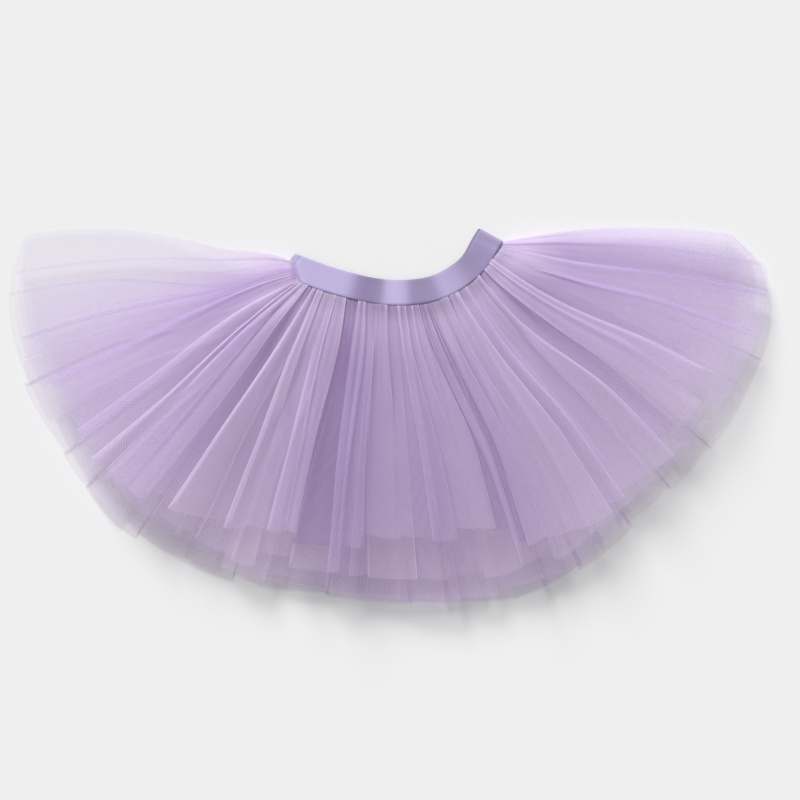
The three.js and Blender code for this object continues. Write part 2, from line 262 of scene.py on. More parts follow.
# Folds. A fold is a line from the waist to the hem where the net turns back under itself. waist and hem are
# its place there, as angles of the fan. lap is 1 where the cloth to its left lies on top, and -1 where the
# cloth to its right does. under is how far it turns back at the hem, in millimetres. height is how high it
# stands, as a share of the panel's rise. begins and ends are the shares of the length between which it is
# there. The next column is how much painted shade lies in the crease beside its edge. The cloth to its left
# hangs drop millimetres lower than the rest, and the last column is the painted light or, below 0, the
# painted shade on that cloth.
FOLD_COLUMNS = ("waist", "hem", "lap", "under", "height", "begins", "ends", "deep", "drop", "painted_shading")
# The outer front's folds
OUTER_FRONT_FOLDS = [
    (177.0, 177.5, 1, 6, 0.3, 0.0, 1.0, 0.0, 0, 0.0),
    (185.0, 187.0, -1, 9, 0.3, 0.0, 1.0, 0.0, -2, -0.05),
    (193.0, 196.0, 1, 10, 0.35, 0.0, 1.0, 0.1, 1, -0.05),
    (200.0, 204.0, -1, 12, 0.45, 0.0, 1.0, 0.1, -3, 0.2),
    (205.5, 209.5, -1, 14, 0.7, 0.0, 1.0, 0.2, -2, 0.45),
    (210.5, 212.5, -1, 6, 0.8, 0.0, 0.6, 0.6, 2, 0.3),
    (216.5, 217.0, 1, 6, 0.7, 0.2, 1.0, 0.4, 1, 0.0),
    (222.6, 221.8, 1, 8, 1.0, 0.0, 1.0, 1.0, 0, 0.0),
    (227.0, 225.0, -1, 8, 1.0, 0.0, 1.0, 0.9, -6, 0.2),
    (231.5, 235.8, -1, 9, 0.9, 0.0, 1.0, 0.7, -5, 0.5),
    (237.0, 240.0, 1, 4, 0.7, 0.0, 0.6, 0.5, -2, 0.5),
    (241.0, 244.0, -1, 5, 0.6, 0.3, 1.0, 0.3, -5, 0.15),
    (246.5, 247.6, 1, 6, 0.8, 0.0, 1.0, 0.4, -7, 0.1),
    (252.6, 250.4, 1, 9, 1.0, 0.0, 1.0, 1.0, -7, 0.2),
    (258.4, 256.4, -1, 8, 1.0, 0.0, 1.0, 1.0, 11, -0.5),
    (262.6, 259.8, 1, 6, 1.0, 0.0, 1.0, 0.8, 28, -0.1),
    (266.0, 264.6, 1, 5, 0.8, 0.15, 1.0, 0.4, 4, 0.0),
    (272.5, 271.6, 1, 4, 0.6, 0.0, 0.5, 0.4, -5, 0.1),
    (276.4, 278.6, -1, 6, 0.7, 0.0, 1.0, 0.4, -7, 0.05),
    (280.4, 283.2, 1, 5, 0.7, 0.0, 1.0, 0.5, -8, 0.0),
    (283.4, 287.0, 1, 4, 0.6, 0.0, 0.6, 0.4, -14, 0.25),
    (286.0, 291.6, 1, 6, 1.0, 0.0, 1.0, 1.0, -18, 0.3),
    (287.8, 293.4, -1, 3, 1.0, 0.1, 1.0, 1.0, -6, -0.35),
    (289.2, 294.9, 1, 3, 1.0, 0.05, 1.0, 1.0, 6, 0.1),
    (290.8, 296.5, -1, 3, 1.0, 0.12, 1.0, 1.0, 8, -0.4),
    (294.6, 300.8, 1, 4, 0.8, 0.2, 1.0, 0.8, 4, 0.1),
    (299.4, 305.4, 1, 4, 0.6, 0.0, 0.55, 0.4, 10, 0.15),
    (305.0, 313.8, 1, 9, 0.9, 0.0, 1.0, 0.8, 15, 0.3),
    (310.4, 317.2, 1, 5, 0.8, 0.0, 1.0, 0.4, 8, 0.2),
    (317.0, 322.6, -1, 5, 0.6, 0.3, 1.0, 0.2, 9, 0.15),
    (320.6, 328.4, 1, 8, 1.0, 0.0, 1.0, 1.0, 4, 0.2),
    (324.6, 332.4, -1, 7, 1.0, 0.0, 1.0, 0.9, -8, 0.0),
    (331.0, 338.4, -1, 8, 1.0, 0.0, 0.94, 0.6, -14, 0.2),
    (337.0, 343.4, 1, 7, 1.0, 0.0, 0.9, 0.3, 3, 0.0),
    (346.5, 351.6, -1, 8, 0.35, 0.2, 1.0, 0.1, 0, -0.15),
    (357.0, 359.4, 1, 8, 0.35, 0.0, 1.0, 0.0, -2, -0.2),
    (361.4, 363.2, -1, 6, 0.4, 0.0, 1.0, 0.1, 1, -0.2),
]
# The drop of the cloth past a panel's last fold, and its painted light or shade
LAST_DROP = -11
LAST_PAINTED_SHADING = -0.25
# How many folds each of the other panels has, and the ranges that their columns are drawn from
UNEVEN_FOLDS = {"outer_back": 17, "middle_back": 18, "inner_back": 17, "inner_front": 20, "middle_front": 25}
HEM_STRAYS = 0.33  # shares of the step from fold to fold by which one strays at the hem and at the waist
WAIST_STRAYS = 0.3
EVENED = 0.25  # how far the places at the waist are evened out
UNDER_RANGE = (4, 11)
CREASE_SHADE_RANGE = (0.1, 0.6)
HEIGHT_RANGE = (0.3, 0.8)
PAINTED_SHADING_RANGE = (-0.2, 0.25)
DROP_RANGE = (-6, 5)
DROP_AT_OUTLINE = 0.3  # how much of it the lowest panel has, whose hem is the outline
BEGINS_LATE = 0.25  # share of the folds that begin below the waist, and where
LATE_RANGE = (0.05, 0.3)
ENDS_EARLY = 0.2  # share of the folds that end above the hem, and where
EARLY_RANGE = (0.6, 0.9)
UNDER_WHERE_THIN = 0.5  # how much of these the folds have where the net is thin
HEIGHT_WHERE_THIN = 0.3

# How many walls of net lie on each other at the hem, before its folds: angle, walls.
FULLNESS = [
    (165, 0.3), (178, 0.38), (195, 0.85), (215, 1.1), (240, 1.35), (270, 1.55), (300, 1.4), (330, 1.0),
    (352, 0.9), (363, 0.95), (369, 0.8),
]
WHERE_FULL = (0.1, 1.2)  # from no fullness to the fullness that has whole folds

# Each panel is a grid: columns across it, rows from the waist to the hem.
ROWS = 72
ROW_SPACING = 1.15  # above 1, the rows lie closer at the waist
FACE_STEPS = 9  # columns of a face between two folds, and of the cloth that a fold turns under
UNDER_STEPS = 4
MOST_UNDER = 0.42  # a fold turns back under at most this share of the face beside it
UNDER_AT_WAIST = 0.75  # share of its turned width that a fold has at the waist
WANDER = 2.2  # millimetres by which a fold's line strays
WANDER_FULL_AT = 0.25
WANDER_RATE = (1.5, 6)  # the range of its waves, in radians from the waist to the hem
PHASE = (0, 6)
NARROW = 0.4  # least millimetres to a degree that straying lines and gathered walls reckon with
NARROWEST = 0.02
FOLD_STARTS = (-0.08, 0.08)  # around the share of the length where a fold begins, how it comes
FOLD_STOPS = (-0.12, 0.05)  # around the share where it ends, how it goes
FACE_BULGE = (-0.12, 0.3)  # how much a face bulges between its turns, as a share of the folds' height
FACE_ROUND = 0.6  # how much closer a face's columns lie at its two turns
DARK_FROM_START = (0, 0.9)  # over which shares of a face the painted shade beside its turns fades
DARK_FROM_END = (0.1, 1)
HEM_UNEVEN = 1.5  # millimetres by which the hem strays at each turn
CRIMP = 0.012  # height of the small waves all over, as a share of the folds' height
CRIMP_WAVES = 3
CRIMP_ACROSS = (0.4, 1.3)
CRIMP_DOWN = (-6, 6)
FOLD_LIMIT = 1.05  # most height of a fold, as a share of the panel's rise
LEAST_LIFT = 0.35  # millimetres by which folds stand where the panel has no rise
LOWEST = 0.15  # least height of the net over the table
FINE_REACH = (0.25, 0.85)  # how far down the fine gathers under the band reach, before squaring
FINE_FADES_FROM = 0.3
FINE_LEAST = 0.2  # how much of them there is where the net is thin
FINE_STAND = 0.25  # how high they stand, as a share of the folds' height
FINE_PAINTED_SHADING = 0.6  # how much painted light or painted shade they get as they stand up or sink
PAINTED_SHADING_COMES = (0.0, 0.3)  # over which share of the length a face's painted light or shade comes
# Painted light or, below 0, painted shade on the net around the fan, for the top panel and the others: angle,
# value.
TOP_PAINTED_SHADING = [
    (165, -0.25), (192, -0.25), (224, 0.0), (248, 0.0), (264, -0.1), (290, -0.1), (310, 0.0), (369, 0.0),
]
LOWER_PAINTED_SHADING = [
    (165, -0.25), (192, -0.25), (224, 0.05), (250, 0.1), (266, -0.15), (284, 0.0), (310, 0.2), (369, 0.0),
]
WAIST_PAINTED_LIGHT = 0.15  # painted light just below the band, where the band casts its shadow
WAIST_FADES = (0.08, 0.3)
SWELL = 3.6  # millimetres by which the outer front swells below the band
SWELL_COMES = (0.006, 0.018)
SWELL_GOES = (0.05, 0.3)
FEWEST_WALLS = 0.3
MOST_WALLS = 6.5
BROAD_PAINTED_SHADE = 0.3  # painted shade over the whole low side of a face
CREASE_PAINTED_SHADE = 2.0  # painted shade in the crease beside a fold's edge
CREASE_WIDE = 2.2  # millimetres over which it is
EDGE_STANDS = (0.3, 0.95)  # the height at which a fold's edge starts to show, and at which it shows in full
EDGE_LEAST = 0.03
FAR = 9.0  # millimetres from an edge for points that none is near


def uneven_folds(panel, count, rng):
    """Folds that are as uneven in place, depth and length as the listed ones."""
    places = np.linspace(panel["left"], panel["right"], count + 2)[1:-1]
    pitch = places[1] - places[0]
    hem = places + pitch * rng.uniform(-HEM_STRAYS, HEM_STRAYS, count)
    waist = hem + pitch * rng.uniform(-WAIST_STRAYS, WAIST_STRAYS, count)
    shares = np.arange(1, count + 1) / (count + 1)
    even = waist_angle(mix(waist_share(panel["left"]), waist_share(panel["right"]), shares))
    waist = np.sort(mix(waist, even, EVENED))
    lap = rng.choice([-1, 1], count)
    full = ease(read_table(FULLNESS, hem), *WHERE_FULL)
    under = rng.uniform(*UNDER_RANGE, count) * mix(UNDER_WHERE_THIN, 1, full)
    # Painted shade for the creases, drawn at random
    deep = rng.uniform(*CREASE_SHADE_RANGE, count) * full
    height = rng.uniform(*HEIGHT_RANGE, count) * mix(HEIGHT_WHERE_THIN, 1, full)
    # Painted light and shade for the faces, drawn at random
    painted_shading = rng.uniform(*PAINTED_SHADING_RANGE, count) * full
    drop = rng.uniform(*DROP_RANGE, count) * (DROP_AT_OUTLINE if panel is PANELS[0] else 1)
    begins = np.where(rng.random(count) < BEGINS_LATE, rng.uniform(*LATE_RANGE, count), 0.0)
    ends = np.where(rng.random(count) < ENDS_EARLY, rng.uniform(*EARLY_RANGE, count), 1.0)
    return np.column_stack([waist, hem, lap, under, height, begins, ends, deep, drop, painted_shading])


def there_share(row, begins, ends):
    """How much of each fold is there at each row."""
    comes = ease(row, begins + FOLD_STARTS[0], begins + FOLD_STARTS[1])
    stays = 1 - ease(row, ends + FOLD_STOPS[0], ends + FOLD_STOPS[1])
    return np.where(begins <= 0, 1, comes) * np.where(ends >= 1, 1, stays)


def fold_lines(panel, folds, row, rng):
    """Each fold's line over the rows as angles, how far it reaches under, and how much of it is there."""
    count = len(folds["hem"])
    wander = WANDER * np.sin(row * rng.uniform(*WANDER_RATE, (count, 1)) + rng.uniform(*PHASE, (count, 1)))
    line = mix(folds["waist"], folds["hem"], ease(row, 0, FANNED_BY))
    degree = spread(line, row)
    line = line + wander * ease(row, 0, WANDER_FULL_AT) / np.maximum(degree, NARROW)
    sides = np.pad(line, ((1, 1), (0, 0)))
    sides[0] = panel["left"]
    sides[-1] = panel["right"]
    room = np.minimum(line - sides[:-2], sides[2:] - line)
    there = there_share(row, folds["begins"], folds["ends"])
    reach = np.minimum(there * folds["under"] / degree * mix(UNDER_AT_WAIST, 1, row), MOST_UNDER * room)
    return line, reach, there


def turns_across(panel, line, reach, stand, lap):
    """The angles and heights of a panel's turns: its left side, each fold's two turns, its right side."""
    angles = np.zeros((2 * len(line) + 2, ROWS))
    angles[0] = panel["left"]
    angles[1:-1:2] = np.where(lap > 0, line, line + reach)
    angles[2:-1:2] = np.where(lap > 0, line - reach, line)
    angles[-1] = panel["right"]
    heights = np.zeros_like(angles)
    heights[1:-1:2] = np.where(lap > 0, stand, -stand)
    heights[2:-1:2] = -heights[1:-1:2]
    return angles, heights


def face_rows(turn_angles, turn_heights, turn_dark, bulge):
    """The columns of a face between two folds, which curves down to meet each fold's lower turn."""
    t = np.linspace(0, 1, FACE_STEPS, endpoint=False)[:, None]
    t = mix(t, t * t * (3 - 2 * t), FACE_ROUND)
    rising = turn_heights[1] > turn_heights[0]
    curve = np.where(rising, 1 - (1 - t) ** 2, t * t)
    heights = mix(*turn_heights, curve) + bulge * 4 * t * (1 - t)
    # Painted shade beside each low turn, fading across the face
    dark_start = np.where(turn_heights[0] < 0, turn_dark[0] * (1 - ease(t, *DARK_FROM_START)), 0)
    dark_end = np.where(turn_heights[1] < 0, turn_dark[1] * ease(t, *DARK_FROM_END), 0)
    return t, mix(*turn_angles, t), heights, np.maximum(dark_start, dark_end)


def under_rows(turn_angles, turn_heights):
    """The columns between a fold's two turns, where the cloth runs back under the face beside it."""
    t = np.linspace(0, 1, UNDER_STEPS, endpoint=False)[:, None]
    return t, mix(*turn_angles, t), mix(*turn_heights, t), np.zeros((UNDER_STEPS, ROWS))


def soften(values, times):
    """Rounds off the turns between columns."""
    for _ in range(times):
        values[1:-1] = (values[:-2] + 2 * values[1:-1] + values[2:]) / 4
    return values


def across_panel(angles, heights, folds, there, row, rng):
    """All columns across a panel: angle, height in the pile, drop at the hem, painted shade of its creases,
    and painted light and shade.
    """
    drops = np.repeat(np.append(folds["drop"], LAST_DROP), 2) + rng.uniform(-1, 1, len(angles)) * HEM_UNEVEN
    face_shading = np.append(folds["painted_shading"], LAST_PAINTED_SHADING)
    turn_dark = np.pad(np.repeat(folds["deep"] * there, 2, axis=0), ((1, 1), (0, 0)))
    bulges = rng.uniform(*FACE_BULGE, len(angles))
    parts = []
    for k in range(len(angles) - 1):
        pair = slice(k, k + 2)
        if k % 2 == 0:
            t, angle, height, dark = face_rows(angles[pair], heights[pair], turn_dark[pair], bulges[k])
        else:
            t, angle, height, dark = under_rows(angles[pair], heights[pair])
        painted_shading = np.full_like(angle, face_shading[k // 2])
        parts.append((angle, height, mix(drops[k], drops[k + 1], t), dark, painted_shading))
    nothing = np.zeros((1, ROWS))
    parts.append((angles[-1:], nothing, drops[-1:, None], nothing, nothing))
    angle, height, drop, dark, painted_shading = (np.vstack(part) for part in zip(*parts))
    # Painted shade over the low side of a face beside a fold's turn
    painted_shading = painted_shading * ease(row, *PAINTED_SHADING_COMES) - BROAD_PAINTED_SHADE * dark
    return soften(angle, 2), soften(height, 2), soften(drop, 1), soften(dark, 2), soften(painted_shading, 2)


def fine_gathers(angles, row, rng):
    """Fine gathers under the band, each fading out at its own length."""
    fine = rng.uniform(-1, 1, (len(angles), 1))
    fine = fine - (np.roll(fine, 1) + np.roll(fine, -1)) / 4
    reach = rng.uniform(*FINE_REACH, (len(angles), 1)) ** 2
    fine = fine * (1 - ease(row, reach * FINE_FADES_FROM, reach))
    return fine * np.clip(read_table(FULLNESS, angles), FINE_LEAST, 1)


def crimps(columns, row, rng):
    """Small waves all over the net."""
    across = np.arange(columns)[:, None]
    waves = np.zeros((columns, ROWS))
    for _ in range(CRIMP_WAVES):
        place = across * rng.uniform(*CRIMP_ACROSS) + row * rng.uniform(*CRIMP_DOWN)
        waves += np.sin(place + rng.uniform(*PHASE))
    return CRIMP * waves


def walls_of_net(panel, angles, way, grid, across, middle):
    """How many walls of net lie on each other, apart from the modelled folds: more towards the waist, where
    the cloth is drawn together."""
    x, y, _ = np.moveaxis(grid[::FACE_STEPS], 2, 0)
    straight = np.hypot(np.diff(x, axis=0), np.diff(y, axis=0)).sum(axis=0)
    folded = across.sum(axis=0) / straight
    at_hem = read_table(FULLNESS, angles) * mix(panel["side_full"], 1, middle)
    walls = at_hem * spread(angles, np.ones_like(way)) / np.maximum(spread(angles, way), NARROWEST)
    return np.clip(walls * folded[-1] / folded, FEWEST_WALLS, MOST_WALLS)


def turn_columns(count):
    """The columns of each fold's two turns."""
    starts = FACE_STEPS + np.arange(count) * (FACE_STEPS + UNDER_STEPS)
    return [(int(start), int(start) + UNDER_STEPS) for start in starts]


def from_edges(grid, across, lap, stand):
    """How far each point is from the nearest fold's upper edge. The first is measured across the cloth, and
    is more where the fold is low. The second is seen from above, for the cloth that lies under that edge."""
    run = np.vstack([np.zeros((1, ROWS)), np.cumsum(across, axis=0)])
    off = np.full_like(run, FAR)
    beside = np.full_like(run, FAR)
    for i, (start, end) in enumerate(turn_columns(len(lap))):
        if lap[i] > 0:
            edge, low = start, slice(end, end + FACE_STEPS)
        else:
            edge, low = end, slice(start - FACE_STEPS + 1, start + 1)
        shows = np.maximum(ease(stand[i], *EDGE_STANDS), EDGE_LEAST)
        off = np.minimum(off, np.abs(run - run[edge]) / shows)
        seen = np.hypot(grid[low, :, 0] - grid[edge, :, 0], grid[low, :, 1] - grid[edge, :, 1])
        beside[low] = np.minimum(beside[low], seen)
    return off, beside


def panel_grid(panel, fold_rows, rng):
    """The panel's points, its cut's running width, its turns' columns, and what its material reads."""
    top = panel is PANELS[-1]
    folds = dict(zip(FOLD_COLUMNS, fold_rows.T[:, :, None]))
    lap = folds["lap"]
    row = np.linspace(0, 1, ROWS) ** ROW_SPACING
    line, reach, there = fold_lines(panel, folds, row, rng)
    stand = folds["height"] * there
    angles, heights = turns_across(panel, line, reach, stand, lap)
    angles, heights, drop, dark, painted_shading = across_panel(angles, heights, folds, there, row, rng)
    fine = fine_gathers(angles, row, rng)
    # Painted light and shade: raised fine gathers get painted light and sunk ones painted shade, the net just
    # below the band gets painted light, and the fan gets painted light and shade by angle
    painted_shading = painted_shading + FINE_PAINTED_SHADING * fine + WAIST_PAINTED_LIGHT * (1 - ease(row, *WAIST_FADES))
    painted_shading = painted_shading + read_table(TOP_PAINTED_SHADING if top else LOWER_PAINTED_SHADING, angles)
    heights = heights + crimps(len(angles), row, rng) + FINE_STAND * fine
    heights = np.clip(heights, -FOLD_LIMIT, FOLD_LIMIT)

    across_share = (angles - panel["left"]) / (panel["right"] - panel["left"])
    middle = np.sin(np.pi * np.clip(across_share, 0, 1)) ** MIDDLE_SHARPNESS
    length = 1 - panel["short"] * middle - panel["side_short"] * (1 - middle)
    way = row * (length + (heights * POINT_DROP + drop) / SKIRT_LENGTH)
    x, y = plan_point(angles, way)
    lift = heights * (rise_of(panel, angles, way) + LEAST_LIFT)
    if top:
        lift = lift + SWELL * ease(way, *SWELL_COMES) * (1 - ease(way, *SWELL_GOES))
    z = np.maximum(panel_height(panel, angles, way) + lift, LOWEST)
    grid = np.stack([x, y, z], axis=-1)

    across = step_lengths(grid)
    cut = running(across[:, -1])
    gather = walls_of_net(panel, angles, way, grid, across, middle)
    off, beside = from_edges(grid, across, lap, stand)
    # Painted shade in the crease beside each fold's edge, on the cloth that lies under that edge
    painted_shading = painted_shading - CREASE_PAINTED_SHADE * dark * np.clip(1 - beside / CREASE_WIDE, 0, 1) ** 2
    turns = [column for pair in turn_columns(len(lap)) for column in pair]
    return grid, cut, turns, {"gather": gather, "off": off, "painted_shading": painted_shading}


def mesh_object(name, grid, closed=False, attributes=None, uv=None, turns=()):
    """A mesh object from a grid of points in millimetres, with values on its points and a UV map in metres.
    A closed grid's columns and rows both join end to end. The columns in turns are sharp edges."""
    columns, rows = grid.shape[:2]
    index = np.arange(columns * rows).reshape(columns, rows)
    if closed:
        index = np.vstack([index, index[:1]])
        index = np.hstack([index, index[:, :1]])
    quads = np.stack([index[:-1, :-1], index[:-1, 1:], index[1:, 1:], index[1:, :-1]], axis=-1).reshape(-1, 4)
    mesh = bpy.data.meshes.new(name)
    mesh.vertices.add(columns * rows)
    mesh.vertices.foreach_set("co", ((grid.reshape(-1, 3) + TO_ORIGIN) * MM).ravel())
    mesh.loops.add(quads.size)
    mesh.loops.foreach_set("vertex_index", quads.ravel())
    mesh.polygons.add(len(quads))
    mesh.polygons.foreach_set("loop_start", np.arange(0, quads.size, 4))
    mesh.update(calc_edges=True)
    mesh.shade_smooth()
    if turns:
        ends = np.empty(2 * len(mesh.edges), dtype=np.int32)
        mesh.edges.foreach_get("vertices", ends)
        first, second = (ends // rows).reshape(-1, 2).T
        layer = mesh.attributes.new("sharp_edge", "BOOLEAN", "EDGE")
        layer.data.foreach_set("value", (first == second) & np.isin(first, turns))
    for key, values in (attributes or {}).items():
        layer = mesh.attributes.new(key, "FLOAT", "POINT")
        layer.data.foreach_set("value", np.ascontiguousarray(values, dtype=np.float32).ravel())
    if uv is not None:
        layer = mesh.uv_layers.new(name="cloth")
        layer.data.foreach_set("uv", uv.reshape(-1, 2)[quads.ravel()].ravel())
    thing = bpy.data.objects.new(name, mesh)
    bpy.context.collection.objects.link(thing)
    return thing


def cloth_uv(along, across):
    """A UV map in metres from running lengths in millimetres."""
    return np.stack(np.broadcast_arrays(along[:, None], across[None, :]), axis=-1) * MM


# Shader helpers
class Nodes:
    """Builds a material's nodes."""

    def __init__(self, name):
        self.material = bpy.data.materials.new(name)
        self.material.use_nodes = True
        self.tree = self.material.node_tree
        self.tree.nodes.clear()
        self.output = self.tree.nodes.new("ShaderNodeOutputMaterial")

    def add(self, kind, inputs=None, **settings):
        node = self.tree.nodes.new("ShaderNode" + kind)
        for key, value in settings.items():
            setattr(node, key, value)
        for key, value in (inputs or {}).items():
            self.put(node.inputs[key], value)
        return node

    def put(self, socket, value):
        if isinstance(value, bpy.types.NodeSocket):
            self.tree.links.new(value, socket)
        else:
            socket.default_value = value

    def math(self, operation, *values, **settings):
        return self.add("Math", dict(enumerate(values)), operation=operation, **settings).outputs[0]

    def attribute(self, name):
        return self.add("Attribute", attribute_name=name).outputs["Fac"]

    def noise(self, vector, scale):
        return self.add("TexNoise", {"Vector": vector, "Scale": scale}).outputs["Fac"]

    def blend(self, factor, a, b):
        node = self.add("Mix", data_type="RGBA")
        self.put(node.inputs[0], factor)
        self.put(node.inputs[6], a)
        self.put(node.inputs[7], b)
        return node.outputs[2]

    def ramp(self, value, low, high, to_low, to_high):
        return self.add("MapRange", {0: value, 1: low, 2: high, 3: to_low, 4: to_high}).outputs[0]

    def finish(self, shader):
        self.tree.links.new(shader, self.output.inputs["Surface"])
        return self.material


# Net
HOLE = 0.0021  # metres from hole to hole of the net
NET_COVER = 0.19  # share of the view that one flat wall of net covers
WEAVE = 0.25  # how much the net's threads and holes differ
THROUGH = 0.6  # share of the light on a thread that comes out on its other side
EDGE_WALLS = 3.0  # a fold's edge shows this many walls more
EDGE_WIDE = 1.0  # millimetres over which it does, and over which the edge gets a painted highlight
GATHERED_FROM = 1.6  # walls of net from which it looks paler
GATHERED_TINT = 0.8
# Each panel's net. The lower panels are painted greyer, as painted shade from the panels over them, and the
# middle front is painted paler, as painted light where the outer front's shadow falls.
PANEL_LILAC_AND_SHADE = {
    "outer_back": (0.79, 0.69, 0.84, 1),
    "middle_back": (0.79, 0.69, 0.85, 1),
    "inner_back": (0.79, 0.68, 0.86, 1),
    "inner_front": (0.83, 0.70, 0.91, 1),
    "middle_front": (0.90, 0.79, 0.97, 1),
    "outer_front": (0.82, 0.70, 0.96, 1),
}
LILAC_PAINTED_SHADE = (0.45, 0.32, 0.62, 1)  # painted shade, where the cloth's painted light and shade value is below 0
LILAC_PAINTED_LIGHT = (0.95, 0.85, 1.0, 1)  # painted light where that value is above 0, and a painted highlight along a fold's edge
LILAC_GATHERED = (0.91, 0.79, 1.0, 1)  # where many walls lie on each other


def net_material(name, colour):
    """Sheer net: threads that scatter light to both sides, and holes that close as more walls lie there. Its
    colour has painted shade and painted light laid on by the cloth's values, and a painted highlight along
    each fold's edge.
    """
    n = Nodes(name)
    axes = n.add("SeparateXYZ", {"Vector": n.add("UVMap", uv_map="cloth").outputs["UV"]})
    turn = 2 * math.pi / HOLE
    across = n.math("SINE", n.math("MULTIPLY", axes.outputs["X"], turn))
    along = n.math("SINE", n.math("MULTIPLY", axes.outputs["Y"], turn))
    one = n.math("MULTIPLY_ADD", n.math("MULTIPLY", across, along), -WEAVE * NET_COVER, 1 - NET_COVER)
    line = n.math("MULTIPLY_ADD", n.attribute("off"), -1 / EDGE_WIDE, 1.0, use_clamp=True)
    gather = n.attribute("gather")
    clear = n.math("POWER", one, n.math("MULTIPLY_ADD", line, EDGE_WALLS, gather))
    painted_shading = n.attribute("painted_shading")
    tint = n.blend(n.ramp(gather, GATHERED_FROM, MOST_WALLS, 0.0, GATHERED_TINT), colour, LILAC_GATHERED)
    # Painted shade where the cloth's painted light and shade value is below 0
    tint = n.blend(n.math("MULTIPLY", painted_shading, -1.0), tint, LILAC_PAINTED_SHADE)
    # Painted light where that value is above 0, and a painted highlight along each fold's edge
    tint = n.blend(n.math("ADD", line, painted_shading), tint, LILAC_PAINTED_LIGHT)
    front = n.add("BsdfDiffuse", {"Color": tint}).outputs[0]
    through = n.add("BsdfTranslucent", {"Color": tint}).outputs[0]
    cloth = n.add("MixShader", {0: THROUGH, 1: front, 2: through}).outputs[0]
    hole = n.add("BsdfTransparent").outputs[0]
    return n.finish(n.add("MixShader", {0: clear, 1: cloth, 2: hole}).outputs[0])


# Elastic
RIB = 0.0009  # metres from rib to rib, and how deep they are
RIB_DEEP = 0.0002
RIB_STRENGTH = 0.12
GRAIN = 0.5  # how strong the grain is beside the ribs
GRAIN_SCALE = 900.0
# The satin's painted shade and painted light, for where its waves turn away from the light or towards it
SATIN_PAINTED_SHADE = (0.165, 0.125, 0.245, 1)
SATIN_PAINTED_LIGHT = (0.345, 0.295, 0.485, 1)
SATIN_CLOUD = (0.34, 0.29, 0.48, 1)
CLOUD_TINT = 0.12
CLOUD_SCALE = 60.0
SATIN_ROUGH = (0.5, 0.62)
SEAM_DARK = (0.15, 0.11, 0.22, 1)
SEAM_WIDE = 0.7  # millimetres
SEAM_STRENGTH = 0.7


def elastic_material():
    """Satin with painted light and shade along it, where its waves turn to the light or away, faint clouds,
    fine ribs, and the seam across its end.
    """
    n = Nodes("satin_elastic")
    axes = n.add("SeparateXYZ", {"Vector": n.add("UVMap", uv_map="cloth").outputs["UV"]})
    ribs = n.math("SINE", n.math("MULTIPLY", axes.outputs["Y"], 2 * math.pi / RIB))
    place = n.add("TexCoord").outputs["Object"]
    cloud = n.noise(place, CLOUD_SCALE)
    # Painted light and shade along the band
    tint = n.blend(n.attribute("painted_shading"), SATIN_PAINTED_SHADE, SATIN_PAINTED_LIGHT)
    tint = n.blend(n.ramp(cloud, 0.3, 0.7, 0.0, CLOUD_TINT), tint, SATIN_CLOUD)
    off_seam = n.math("DIVIDE", n.math("ABSOLUTE", n.attribute("seam")), SEAM_WIDE)
    seam = n.math("MULTIPLY_ADD", off_seam, -SEAM_STRENGTH, SEAM_STRENGTH, use_clamp=True)
    tint = n.blend(seam, tint, SEAM_DARK)
    grain = n.math("MULTIPLY_ADD", n.noise(place, GRAIN_SCALE), GRAIN, ribs)
    bump = n.add("Bump", {"Height": grain, "Strength": RIB_STRENGTH, "Distance": RIB_DEEP}).outputs["Normal"]
    rough = n.ramp(cloud, 0.2, 0.8, *SATIN_ROUGH)
    sheen = {"Sheen Weight": 0.2, "Sheen Roughness": 0.4}
    inputs = {"Base Color": tint, "Roughness": rough, "Normal": bump, "Specular IOR Level": 0.3, **sheen}
    return n.finish(n.add("BsdfPrincipled", inputs).outputs[0])


# Panels of net, each lying on the one before
SEED = 11

rng = np.random.default_rng(SEED)
for panel in PANELS:
    name = panel["name"]
    if name in UNEVEN_FOLDS:
        fold_rows = uneven_folds(panel, UNEVEN_FOLDS[name], rng)
    else:
        fold_rows = np.array(OUTER_FRONT_FOLDS, float)
    grid, cut, turns, reads = panel_grid(panel, fold_rows, rng)
    down = running(step_lengths(grid, axis=1).mean(axis=0))
    piece = mesh_object(name + "_net", grid, attributes=reads, uv=cloth_uv(cut, down), turns=turns)
    piece.data.materials.append(net_material(name + "_tulle", PANEL_LILAC_AND_SHADE[name]))
    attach(piece, "root")
    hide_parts(name)

# Waistband: a ring that was laid flat, its front over the gathered edges and its back under them
BAND_STATIONS = 150
BAND_ACROSS = 12
BAND_THICK = 0.9
BAND_EDGE = 0.8  # how far its two edges bulge, as a share of half its thickness
BAND_LIFT = 0.05  # how far its back lies over the table
# The elastic's slow waves: share of the band, height.
BAND_WAVES = [
    (0, 0), (0.14, 0.8), (0.27, 1.0), (0.41, 0.1), (0.515, 0.9), (0.57, 0.8), (0.68, 0.1), (0.755, 0.8),
    (0.86, 0.2), (1, 0.6),
]
# How pale the satin looks along the band, as its waves turn it to the light or away: share of the band, tone.
BAND_TONES = [
    (0, 1.0), (0.14, 1.0), (0.24, 0.95), (0.31, 0.12), (0.395, 0.1), (0.435, 0.78), (0.505, 0.72),
    (0.55, 0.06), (0.64, 0.06), (0.69, 0.58), (0.75, 0.48), (0.83, 0.04), (0.91, 0.3), (1, 0.5),
]
